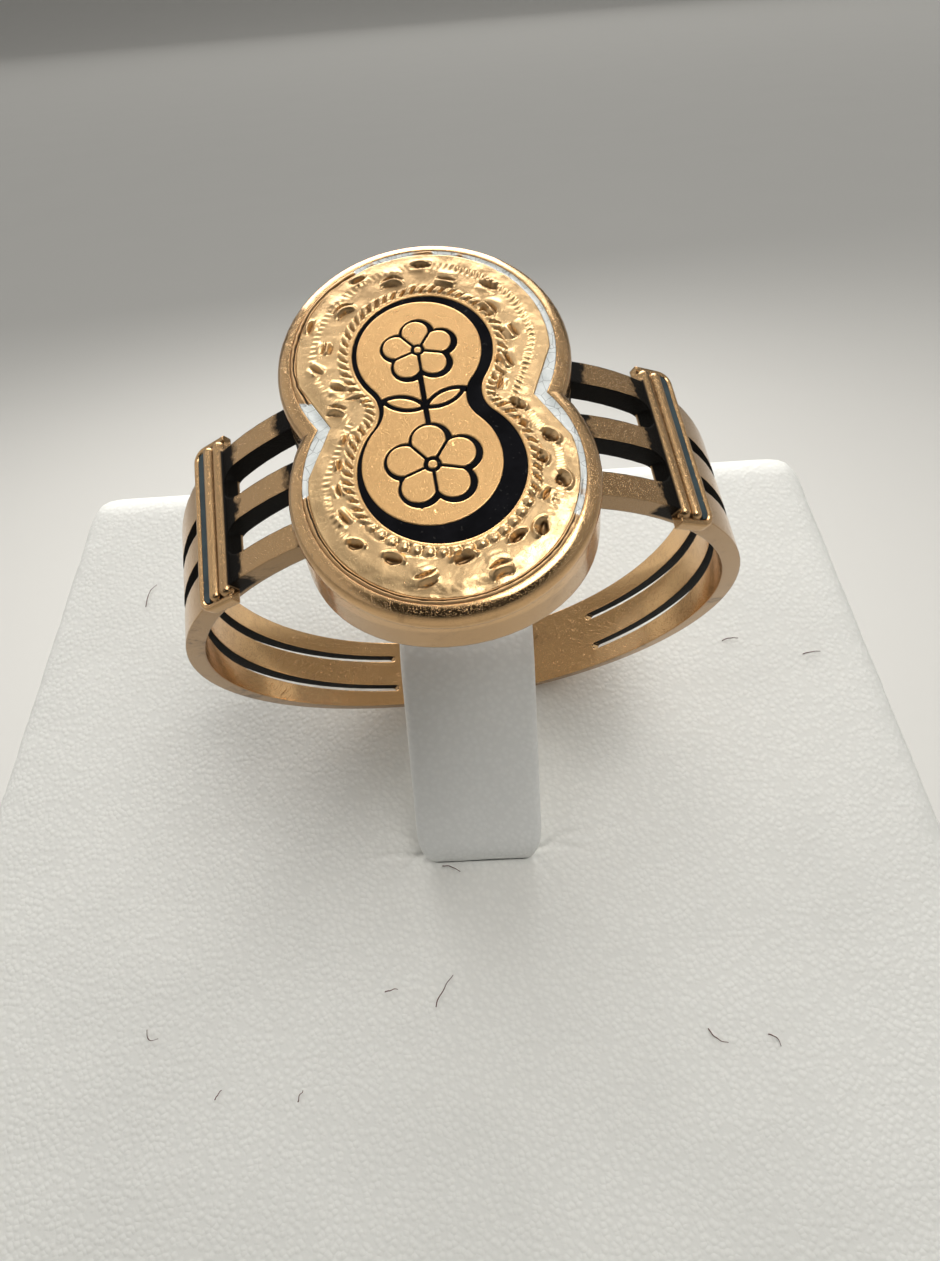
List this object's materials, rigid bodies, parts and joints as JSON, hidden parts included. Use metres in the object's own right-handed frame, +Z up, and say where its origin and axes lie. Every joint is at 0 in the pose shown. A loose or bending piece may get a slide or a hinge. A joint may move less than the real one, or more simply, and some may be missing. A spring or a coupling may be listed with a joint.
{
  "type": "enamel ring on a display stand",
  "caption": "Rose-gold enamel ring with an engraved figure-eight head, openwork shoulders and blue crossbars, held by the tongue of a slanted white leatherette display stand.",
  "frame": {"origin": "centre of the underside of the stand's block, which is the bottom centre of the whole", "axes": "+Z up; +X along the stand's width, to the right as seen from the front; +Y to the back, towards the high edge of the slanted face"},
  "size_m": [0.0544, 0.0388, 0.0442],
  "materials": {
    "rose_gold": "worn polish with dirt in the corners",
    "engraved_gold": "hand-engraved and softly worn",
    "pale_enamel": "glossy, chipped and greyed in places",
    "black_enamel": "glossy",
    "blue_enamel": "glossy",
    "leatherette": "matt, finely pebbled",
    "tongue_leatherette": "matt, finely pebbled"
  },
  "bodies": {
    "root": {"ring_metal": "rose_gold", "face_plaque": "engraved_gold", "border_enamel": "pale_enamel", "figure_enamel": "black_enamel", "crossbar_enamel_left": "blue_enamel", "crossbar_enamel_right": "blue_enamel", "stand_block": "leatherette", "stand_tongue": "tongue_leatherette"}
  },
  "joints": []
}
